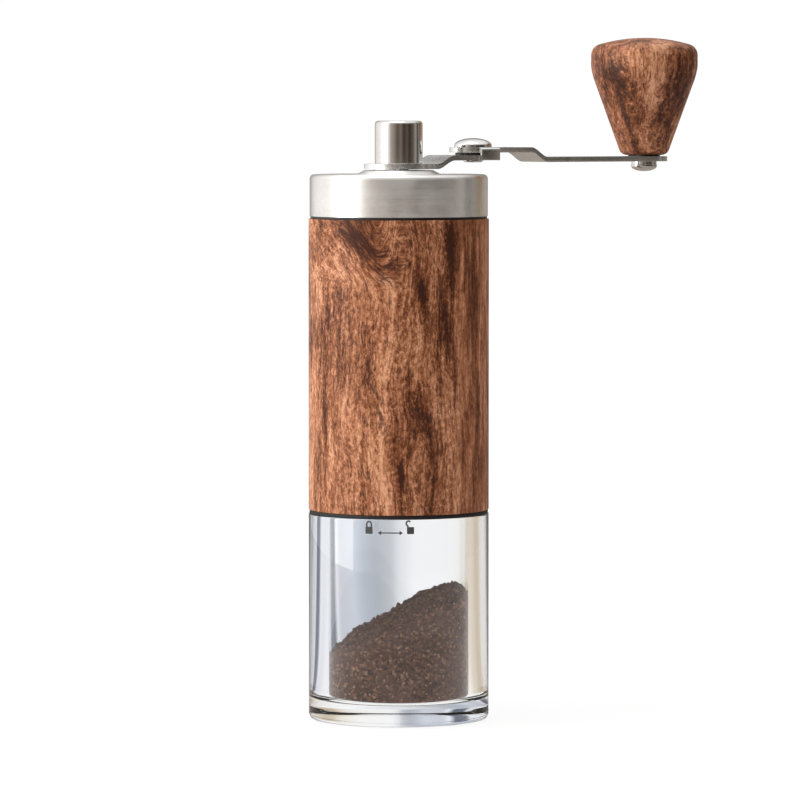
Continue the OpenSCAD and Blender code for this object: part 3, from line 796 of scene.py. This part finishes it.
def build_inner_arm():
    plate = -low("inner_arm")[0]
    meet = math.sqrt(plate ** 2 - ARM_HALF ** 2)
    hub = radius_of("crank_hub")
    start, end = plate - 1.0 * MM, plate + 4.5 * MM
    outline = half_rounds(0.0, plate)[0]
    swing = math.asin(ARM_HALF / plate)
    steps = 12
    for i in range(steps):
        t = math.pi / 2 - (math.pi / 2 - swing) * i / steps
        outline.append(polar(plate, t))
    outline += [(meet + 0.25 * MM, ARM_HALF + 0.06 * MM), (meet + 0.8 * MM, ARM_HALF)]
    outline += run(start, end, ARM_HALF, 16) + half_rounds(HINGE_X, ARM_HALF)[1]
    rise = INNER_Z - HUB_Z
    piece = bent_sheet("inner_crank_arm", outline,
                       lambda x: HUB_Z + rise * ease((x - start) / (end - start)))
    cut_round(piece, 0, 0, hub - HUB_SHOULDER, HUB_Z - 5 * MM, HUB_Z + 5 * MM)
    cut_round(piece, HINGE_X, 0, SHANK_R, INNER_Z - 5 * MM, INNER_Z + 5 * MM, 48)
    soften(piece, 0.22 * MM)
    stand_for(piece, "crank", "inner_arm", slot="arm_steel")


def build_outer_arm():
    start, end = HINGE_X + 15 * MM, HINGE_X + 20.5 * MM
    outline = half_rounds(HINGE_X, ARM_HALF)[0] + [(HINGE_X, ARM_HALF)]
    outline += run(start, end, ARM_HALF, 16) + half_rounds(KNOB_X, ARM_HALF)[1]
    drop = OUTER_Z - FAR_Z
    piece = bent_sheet("outer_crank_arm", outline,
                       lambda x: OUTER_Z - drop * ease((x - start) / (end - start)))
    tab_y0, tab_y1 = low("outer_arm")[1], low("outer_arm")[1] + 0.9 * MM
    tab_x0, tab_x1 = HINGE_X - 1.9 * MM, HINGE_X + 4.0 * MM
    join_in(piece, stop_tab(tab_x0, tab_x1, tab_y0, tab_y1))
    cut_round(piece, HINGE_X, 0, 2.55 * MM, OUTER_Z - 5 * MM, OUTER_Z + 5 * MM, 48)
    cut_round(piece, KNOB_X, 0, SHANK_R, FAR_Z - 5 * MM, FAR_Z + 5 * MM, 48)
    soften(piece, 0.22 * MM)
    stand_for(piece, "arm", "outer_arm", slot="arm_steel")


def stop_tab(x0, x1, y0, y1):
    """Tab folded down from the outer arm's edge, with a rounded fold."""
    top = OUTER_Z + ARM_THICK
    fold = 0.8 * MM
    section = rounded([(0.0, top, 0), (y0, top, fold), (y0, INNER_Z, 0.15 * MM),
                       (y1, INNER_Z, 0.15 * MM), (y1, OUTER_Z, 0.02 * MM), (0.0, OUTER_Z, 0)],
                      closed=True)
    bm = bmesh.new()
    near = [bm.verts.new((x0, y, z)) for y, z in section]
    far = [bm.verts.new((x1, y, z)) for y, z in section]
    bm.faces.new(near)
    bm.faces.new(list(reversed(far)))
    for i in range(len(near)):
        j = (i + 1) % len(near)
        bm.faces.new([near[i], far[i], far[j], near[j]])
    return finish_mesh("stop_tab", bm, ARM_STEEL)


def build_hub():
    """Tall turned hub with a softly broken top edge and a blind hexagon socket below."""
    outer = radius_of("crank_hub")
    z0, z1 = ends("crank_hub")
    spigot = outer - HUB_SHOULDER
    seat = z0 + ARM_THICK
    profile = rounded([
        (0, z0, 0), (spigot, z0, 0.1 * MM), (spigot, seat, 0), (outer, seat, 0.25 * MM),
        (outer, z1, 1.1 * MM), (0, z1, 0)])
    piece = turned("turned_hub", profile, HUB_STEEL, 200)
    flats = (radius_of("drive_shaft") - 1.0 * MM) * 2 * 0.87
    hexagon = flats / math.sqrt(3) + 0.1 * MM
    cut_round(piece, 0, 0, hexagon, z0 - 5 * MM, high("drive_shaft")[2] + 0.05 * MM, 6)
    stand_for(piece, "crank", "crank_hub", slot="hub_steel")


def build_rivet():
    """Fold rivet: domed head above the outer arm, shank, and a peened foot below the inner arm."""
    head = 5.15 * MM
    foot_z, dome_z = low("hinge_rivet")[2], OUTER_Z + ARM_THICK + 0.05 * MM
    top = high("hinge_rivet")[2]
    foot = 2.75 * MM
    rise = top - dome_z - 0.45 * MM
    profile = rounded([
        (0, foot_z, 0), (foot * 0.8, foot_z, 0.2 * MM), (foot, INNER_Z - 0.25 * MM, 0.1 * MM),
        (foot, INNER_Z, 0), (SHANK_R, INNER_Z, 0), (SHANK_R, dome_z, 0), (head, dome_z, 0.2 * MM)])
    profile += [(head, dome_z + 0.45 * MM)]
    profile += [(head * math.cos(t), dome_z + 0.45 * MM + rise * math.sin(t))
                for t in quarter(16, 1)[:-1]] + [(0, top)]
    piece = turned("fold_rivet", profile, RIVET_STEEL, 96, centre=(HINGE_X, 0))
    stand_for(piece, "crank", "hinge_rivet", slot="rivet_steel")


# ---- knob

def build_knob():
    """Turned walnut grip: domed crown, round shoulder, short band and a long straight taper."""
    z0, z1 = ends("knob")
    widest = radius_of("knob")
    foot = widest * 0.4765
    tall = z1 - z0
    crown = widest * 2 * 1.51
    shoulder = 3.2 * MM
    centre_z = z1 - crown
    side = widest - shoulder
    up = math.sqrt((crown - shoulder) ** 2 - side ** 2)
    shoulder_z = centre_z + up
    tangent = math.degrees(math.atan2(up, side))
    bore, cavity = 4.2 * MM, 20.5 * MM
    profile = [(0, z0 + cavity), (bore, z0 + cavity), (bore, z0)]
    profile += arc(foot - 2.2 * MM, z0 + 2.2 * MM, 2.2 * MM, -90, -20, 10)
    neck_x, neck_z = profile[-1]
    band_z = shoulder_z - 2.4 * MM
    bend_x, bend_z = widest - 0.75 * MM, band_z - 4.1 * MM
    for i in range(1, 40):
        t = i / 40
        profile.append((neck_x + (bend_x - neck_x) * t, neck_z + (bend_z - neck_z) * t))
    a, b, c, d = (Vector(p) for p in (
        (bend_x, bend_z), (widest - 0.1 * MM, band_z - 1.8 * MM), (widest, band_z - 0.9 * MM),
        (widest, band_z)))
    steps = 8
    for i in range(steps + 1):
        t = i / steps
        p = a * (1 - t) ** 3 + b * 3 * t * (1 - t) ** 2 + c * 3 * t ** 2 * (1 - t) + d * t ** 3
        profile.append((p.x, p.y))
    profile += arc(side, shoulder_z, shoulder, 0, tangent, 14)
    profile += arc(0, centre_z, crown, tangent + 1.5, 90, 16)[:-1] + [(0, z0 + tall)]
    piece = turned("walnut_knob", profile, TURNED_WALNUT, 200, centre=(KNOB_X, 0))
    stand_for(piece, "grip", "knob", slot="knob_wood")


def build_spindle():
    """Knob spindle with a low domed head below the arm."""
    z0, z1 = ends("knob_spindle")
    head = radius_of("knob_spindle")
    under = low("spindle_washer")[2]
    dome = [(head * math.sin(t), z0 + (under - z0) * 0.72 * (1 - math.cos(t)))
            for t in quarter(12)]
    profile = dome + rounded([
        dome[-1] + (0,), (head, under, 0.1 * MM), (SHANK_R, under, 0), (SHANK_R, z1, 0.3 * MM),
        (0, z1, 0)])[1:]
    piece = turned("knob_spindle_pin", profile, SPINDLE_STEEL, 96, centre=(KNOB_X, 0))
    stand_for(piece, "arm", "knob_spindle", slot="rivet_steel")


# ---- cup

def build_cup():
    """Thick clear cup with a rounded foot, a dished cavity and three bayonet lugs."""
    outer = radius_of("cup")
    z1 = high("cup")[2]
    shoulder = low("cup_gasket")[2]
    neck = radius_of("bayonet_collar") - 1.8 * MM
    cavity = outer - CUP_WALL
    profile = rounded([
        (0, 0, 0), (outer - 0.6 * MM, 0, 0.5 * MM), (outer, 1.0 * MM, 1.2 * MM),
        (outer, shoulder, 0.35 * MM), (neck, shoulder, 0.15 * MM), (neck, z1, 0.35 * MM),
        (cavity, z1, 0.3 * MM), (cavity, CUP_FLOOR, 2.4 * MM), (0, CUP_FLOOR, 0)], steps=8)
    piece = turned("clear_cup", profile, CLEAR_ACRYLIC, 256)
    lug_out, lug_in = neck + 0.9 * MM, neck - 0.3 * MM
    lug_z = z1 - 2.4 * MM
    lug_top = lug_z + 2 * MM
    for k in range(3):
        bm = bmesh.new()
        rows = []
        for i in range(17):
            a = math.radians(120 * k - 12 + 24 * i / 16)
            rows.append([bm.verts.new((*polar(r, a), z)) for r, z in (
                (lug_in, lug_z), (lug_out, lug_z), (lug_out, lug_top), (lug_in, lug_top))])
        for a, b in zip(rows, rows[1:]):
            bridge(bm, a, b, 4)
        bm.faces.new(rows[0])
        bm.faces.new(list(reversed(rows[-1])))
        join_in(piece, finish_mesh("lug", bm, CLEAR_ACRYLIC))
    piece.data.shade_smooth()
    piece.data.set_sharp_from_angle(angle=math.radians(32))
    stand_for(piece, "receiver", "cup", slot="clear_cup")


def side_angle(u, radius):
    """Angle round the axis of a point seen u to the right of it on the near side."""
    return math.radians(FRONT_DEG - 90) + math.asin(max(-1.0, min(1.0, u / radius)))


def build_coffee():
    """Coffee that has fallen into a sloping heap, highest on the right, with a crumbly face."""
    outer = radius_of("cup") - CUP_WALL - 0.25 * MM
    floor = CUP_FLOOR + 0.15 * MM
    heights = [(-19.0, 17.9), (-12.1, 21.9), (-6.9, 23.4), (-2.0, 26.2), (2.3, 28.4), (9.1, 31.9),
               (15.4, 34.6), (18.6, 35.2), (19.4, 33.6)]
    right = Vector((math.cos(math.radians(FRONT_DEG)), math.sin(math.radians(FRONT_DEG)), 0))

    def heap(x, y):
        u = (x * right.x + y * right.y) / MM
        z = np.interp(u, [h[0] for h in heights], [h[1] for h in heights]) * MM
        depth = (-x * right.y + y * right.x) / MM
        z += 0.10 * depth * MM * 0.5
        p = Vector((x, y, 0)) / MM
        z += noise.noise(p * 0.22) * 0.9 * MM + noise.noise(p * 0.7 + Vector((4, 9, 2))) * 0.55 * MM
        return float(z + noise.noise(p * 2.1) * 0.3 * MM)

    bm = bmesh.new()
    count, rings, levels = 240, 46, 60
    turns = [2 * math.pi * i / count for i in range(count)]
    tops = [heap(*polar(outer, t)) for t in turns]
    edge = 2.2 * MM
    foot = arc(outer - edge, floor + edge, edge, -90, 0, 8)
    rows = [[bm.verts.new((0, 0, floor))]]
    for r, z in foot:
        rows.append(ring_of(bm, r, z, count))
    base = floor + edge
    for k in range(1, levels + 1):
        row = []
        for t, top in zip(turns, tops):
            z = base + (top - base) * k / levels
            spot = Vector((*polar(outer, t), z)) / MM
            dent = max(0.0, noise.noise(spot * 0.9)) * 0.12 * MM
            r = outer - (dent + abs(noise.noise(spot * 2.7)) * 0.10 * MM)
            row.append(bm.verts.new((*polar(r, t), z)))
        rows.append(row)
    for k in range(1, rings):
        r = outer * (1 - k / rings)
        rows.append([bm.verts.new((x, y, heap(x, y))) for x, y in (polar(r, t) for t in turns)])
    rows.append([bm.verts.new((0, 0, heap(0, 0)))])
    for a, b in zip(rows, rows[1:]):
        bridge(bm, a, b, count)
    scatter_crumbs(bm, heap, outer)
    piece = finish_mesh("coffee_grounds", bm, GROUND_COFFEE, 60)
    stand_for(piece, "receiver")


def scatter_crumbs(bm, heap, outer):
    """Loose angular crumbs lying on the heap."""
    rng = np.random.default_rng(11)
    for _ in range(700):
        r = outer * math.sqrt(rng.uniform(0, 0.93))
        t = rng.uniform(0, 2 * math.pi)
        x, y = polar(r, t)
        size = rng.uniform(0.25, 0.62) * MM
        if r + size > outer - 0.2 * MM:
            continue
        made = bmesh.ops.create_icosphere(bm, subdivisions=1, radius=size)["verts"]
        squash = rng.uniform(0.6, 1.25, 3)
        for v in made:
            jolt = 1 + noise.noise(v.co / MM * 1.3 + Vector((x, y, r)) / MM) * 0.45
            v.co = Vector((v.co.x * squash[0] * jolt + x, v.co.y * squash[1] * jolt + y,
                           v.co.z * squash[2] * jolt + heap(x, y) + size * 0.25))


# ---- lock marks on the cup

def wrapped(bm, outline, radius, u0, z0, depth):
    """Wraps a flat closed outline, in mm round (u0, z0), on a cylinder as a thin printed layer."""
    inner, outer_ring = [], []
    for u, z in outline:
        t = side_angle((u0 + u) * MM, radius)
        for r, ring_verts in ((radius + 0.005 * MM, inner), (radius + depth, outer_ring)):
            ring_verts.append(bm.verts.new((*polar(r, t), (z0 + z) * MM)))
    return inner, outer_ring


def printed_strip(bm, left, right_side, radius, u0, z0):
    """Solid printed strip between two edge lines of equal length."""
    depth = 0.03 * MM
    a0, a1 = wrapped(bm, left, radius, u0, z0, depth)
    b0, b1 = wrapped(bm, right_side, radius, u0, z0, depth)
    for i in range(len(left) - 1):
        bm.faces.new([a1[i], a1[i + 1], b1[i + 1], b1[i]])
        bm.faces.new([a0[i], b0[i], b0[i + 1], a0[i + 1]])
        bm.faces.new([a0[i], a0[i + 1], a1[i + 1], a1[i]])
        bm.faces.new([b0[i], b1[i], b1[i + 1], b0[i + 1]])
    bm.faces.new([a0[0], a1[0], b1[0], b0[0]])
    bm.faces.new([a0[-1], b0[-1], b1[-1], a1[-1]])


def thick_path(points, width):
    """Left and right edge lines of a path."""
    left, right_side = [], []
    for i, point in enumerate(points):
        p = Vector(point)
        ahead = Vector(points[min(i + 1, len(points) - 1)]) - Vector(points[max(i - 1, 0)])
        side = Vector((-ahead.y, ahead.x)).normalized() * width / 2
        left.append(tuple(p + side))
        right_side.append(tuple(p - side))
    return left, right_side


def padlock(bm, radius, u0, z0, open_deg):
    """A generic padlock sign; open_deg swings the shackle."""
    half, tall = 0.95, 1.9
    rows = [(-half, 0.1), (-half + 0.12, 0), (half - 0.12, 0), (half, 0.1)]
    printed_strip(bm, rows, [(x, tall - z) for x, z in rows], radius, u0, z0)
    lift = [(-0.62, tall)] + [(0.62 * -math.cos(t), tall + 0.75 + 0.62 * math.sin(t))
                              for t in (math.pi * i / 12 for i in range(13))] + [(0.62, tall)]
    if open_deg:
        turn = math.radians(open_deg)
        pivot = Vector((-0.62, tall + 0.1))
        swing, rise = math.cos(turn), math.sin(turn)
        lift = [(-0.62, tall)] + [(pivot.x + (x - pivot.x) * swing - (z - pivot.y) * rise,
                                   pivot.y + (x - pivot.x) * rise + (z - pivot.y) * swing)
                                  for x, z in lift[1:-1]]
    printed_strip(bm, *thick_path(lift, 0.42), radius, u0, z0)


def build_marks():
    """Printed signs for closed and open, with a double-headed arrow between them."""
    radius = radius_of("cup")
    base = low("cup_gasket")[2] / MM - 3.9
    bm = bmesh.new()
    padlock(bm, radius, -7.95, base, 0)
    padlock(bm, radius, 3.15, base, 38)
    line_z = base + 0.3
    for a, half_a, b, half_b in ((-4.9, 0.15, 0.4, 0.15), (-5.6, 0.02, -4.7, 0.60),
                                 (1.1, 0.02, 0.2, 0.60)):
        printed_strip(bm, [(a, half_a), (b, half_b)], [(a, -half_a), (b, -half_b)],
                      radius, 0, line_z)
    stand_for(finish_mesh("cup_lock_marks", bm, GREY_INK, 20), "receiver")


# ---- everything else keeps its CAD shape

KEPT = (
    (TUBE_STEEL, "body_tube burr_clamp_ring click_plate"),
    (BLACK_NYLON, "top_bridge burr_housing bayonet_collar burr_core grind_dial"),
    (BLACK_NYLON, "lid_insert lid_grommet"),
    (BEARING_STEEL, "upper_bearing_outer upper_bearing_inner upper_bearing_balls"),
    (BEARING_STEEL, "lower_bearing_outer lower_bearing_inner lower_bearing_balls"),
    (BURR_CERAMIC, "ring_burr cone_burr"),
    (SCREW_STEEL, "clamp_screws shaft_clip spindle_clip"),
    (SHAFT_STEEL, "drive_shaft burr_spring spring_washer"),
    (WASHER_NYLON, "hinge_washer knob_washer"),
    (SPINDLE_STEEL, "spindle_washer"),
    (BUSH_BRASS, "knob_bush"),
    (SEAL_RUBBER, "lid_seal"),
)

for finish, node_names in KEPT:
    for node_name in node_names.split():
        dress(node_name, finish)

for build in (build_sleeve, build_lid, build_gasket, build_inner_arm, build_outer_arm, build_hub,
              build_rivet, build_knob, build_spindle, build_cup, build_coffee, build_marks):
    build()


# ---- floor, light and camera

TURN = math.radians(FRONT_DEG)
TO_RIGHT = Vector((math.cos(TURN), math.sin(TURN), 0))
TO_FRONT = Vector((math.sin(TURN), -math.cos(TURN), 0))

# The room by bearing, with 0 towards the viewer, -90 left and 180 behind: a broad window light on
# the left, a dim warm room behind the viewer and on the right
ROOM = [(-180, (0.32, 0.31, 0.30)), (-160, (0.40, 0.39, 0.38)), (-142, (0.95, 0.93, 0.91)),
        (-120, (1.15, 1.13, 1.11)), (-66, (1.45, 1.43, 1.40)), (-50, (1.12, 1.09, 1.05)),
        (-40, (0.52, 0.48, 0.44)), (-20, (0.29, 0.25, 0.22)), (-6, (0.12, 0.095, 0.08)),
        (10, (0.22, 0.185, 0.16)), (24, (0.050, 0.038, 0.030)), (42, (0.12, 0.10, 0.085)),
        (53, (0.035, 0.028, 0.022)), (76, (0.15, 0.125, 0.105)), (91, (0.42, 0.39, 0.37)),
        (101, (0.02, 0.024, 0.028)), (112, (0.26, 0.26, 0.26)), (126, (0.24, 0.19, 0.11)),
        (150, (0.42, 0.37, 0.31)), (180, (0.32, 0.31, 0.30))]
# Painted refraction: colours by bearing that the floor glows with, and the sky shows, for rays
# through the clear cup. They stand in for a pale backdrop that is not built, with painted shade
# cool on the left and warm on the right.
PAINTED_THROUGH_CUP = [(-180, (0.78, 0.79, 0.81)), (-178.3, (0.53, 0.55, 0.58)), (-175.5, (0.45, 0.48, 0.53)),
           (-172.5, (0.50, 0.54, 0.61)), (-169, (0.64, 0.67, 0.74)), (-164, (0.60, 0.63, 0.70)),
           (-160, (0.60, 0.63, 0.70)), (-156, (0.84, 0.86, 0.90)), (-152, (0.12, 0.14, 0.19)),
           (-143, (0.15, 0.17, 0.22)), (-139, (0.82, 0.84, 0.88)), (-125, (0.86, 0.88, 0.91)),
           (-84, (1.00, 1.00, 1.00)), (0, (0.92, 0.91, 0.90)), (80, (1.00, 0.99, 0.97)),
           (106, (0.98, 0.95, 0.90)), (118, (0.80, 0.72, 0.61)), (127, (0.72, 0.64, 0.54)),
           (136, (0.60, 0.50, 0.38)), (144, (0.64, 0.54, 0.42)), (152, (0.86, 0.80, 0.72)),
           (162, (0.94, 0.93, 0.91)), (177, (0.96, 0.96, 0.96)), (180, (0.78, 0.79, 0.81))]


def round_the_room(tree, direction, stops):
    """Colour by bearing about the grinder."""
    across, ahead = (dot(tree, direction, tuple(axis)) for axis in (TO_RIGHT, TO_FRONT))
    bearing = calc(tree, "ARCTAN2", across, ahead)
    bearing = plus(tree, calc(tree, "DIVIDE", bearing, 2 * math.pi), 0.5)
    return ramp(tree, bearing, [(degrees / 360 + 0.5, colour) for degrees, colour in stops])


def pale_floor():
    """Near-white floor, thin to the eye so that a cup drawn down through it still shows.

    Seen through the cup it glows with painted refraction colours by bearing, and in the steel it is
    painted dim, a painted reflection.
    """
    made, tree, shader, place = material("pale_floor", Roughness=0.7)
    cloud = speckle(tree, place, 8.0, 2.0)
    paint = blend_colour(tree, cloud, (0.84, 0.84, 0.84), (0.88, 0.88, 0.88))
    rays = tree.nodes.new("ShaderNodeLightPath").outputs
    # painted reflection: in glossy rays the floor turns a dim warm grey, so the steel reflects it
    # dark
    paint = blend_colour(tree, rays["Is Glossy Ray"], paint, (0.34, 0.30, 0.265))
    wire(tree, shader, "Base Color", paint)
    thin = tree.nodes.new("ShaderNodeBsdfTransparent")
    # painted refraction: rays through the cup see the floor glow with the bearing colours, not lit
    # by the lamps
    painted_through_glow = add(tree, "ShaderNodeEmission", Color=round_the_room(tree, place, PAINTED_THROUGH_CUP),
                 Strength=1.0)
    layers = shader.outputs[0]
    for share, layer in ((times(tree, rays["Is Camera Ray"], 0.88), thin),
                         (rays["Is Transmission Ray"], painted_through_glow)):
        mixed = tree.nodes.new("ShaderNodeMixShader")
        feed(tree, mixed.inputs[0], share)
        tree.links.new(layers, mixed.inputs[1])
        tree.links.new(layer.outputs[0], mixed.inputs[2])
        layers = mixed.outputs[0]
    tree.links.new(layers, tree.nodes["Material Output"].inputs["Surface"])
    return made


FLOOR = turned("studio_floor", [(0, -0.0002), (0.75, -0.0002)], pale_floor(), 64)


def softbox(name, side, forward, up, width, height, power, colour=(1, 1, 1)):
    """Area light placed by how it is seen: side to the right, forward towards the viewer."""
    data = bpy.data.lights.new(name, "AREA")
    data.shape = "RECTANGLE"
    data.size, data.size_y = width, height
    data.energy = power
    data.color = colour
    made = bpy.data.objects.new(name, data)
    made.location = TO_RIGHT * side + TO_FRONT * forward + Vector((0, 0, up))
    made.rotation_euler = (Vector((0, 0, 0.09)) - made.location).to_track_quat("-Z", "Y").to_euler()
    bpy.context.collection.objects.link(made)
    return made


softbox("key_left", -0.85, 0.25, 0.35, 0.5, 0.8, 5.2, (1.0, 0.985, 0.965))
softbox("top_soft", -0.1, 0.1, 0.9, 0.6, 0.6, 2.0)

world = bpy.data.worlds.new("studio")
bpy.context.scene.world = world
world.use_nodes = True
sky = world.node_tree
backdrop = sky.nodes["Background"]
direction = sky.nodes.new("ShaderNodeTexCoord").outputs["Generated"]
height = dot(sky, direction, (0, 0, 1))
path = sky.nodes.new("ShaderNodeLightPath").outputs
overhead = remap(sky, height, 0.30, 0.85)
room = blend_colour(sky, overhead, round_the_room(sky, direction, ROOM), (1.15, 1.15, 1.15))
# painted refraction: rays through the cup that miss the floor see the same painted bearing colours
# in the sky
room = blend_colour(sky, path["Is Transmission Ray"], room, round_the_room(sky, direction, PAINTED_THROUGH_CUP))
room = blend_colour(sky, path["Is Camera Ray"], room, (1.02, 1.02, 1.02))
sky.links.new(room, backdrop.inputs[0])

CAMERA_DISTANCE, CAMERA_HEIGHT = 1.34, 0.1653
LOOK_DOWN_DEG = 3.36
camera_data = bpy.data.cameras.new("camera")
camera_data.sensor_width = 36.0
camera_data.lens = 222.0
camera_data.clip_start = 0.05
camera_data.clip_end = 20.0
camera_data.shift_x = 1.25 / 800
camera = bpy.data.objects.new("camera", camera_data)
camera.location = TO_FRONT * CAMERA_DISTANCE + Vector((0, 0, CAMERA_HEIGHT))
camera.rotation_euler = (math.radians(90 - LOOK_DOWN_DEG), 0, TURN)
bpy.context.collection.objects.link(camera)
bpy.context.scene.camera = camera
bpy.context.scene.view_settings.view_transform = "Standard"
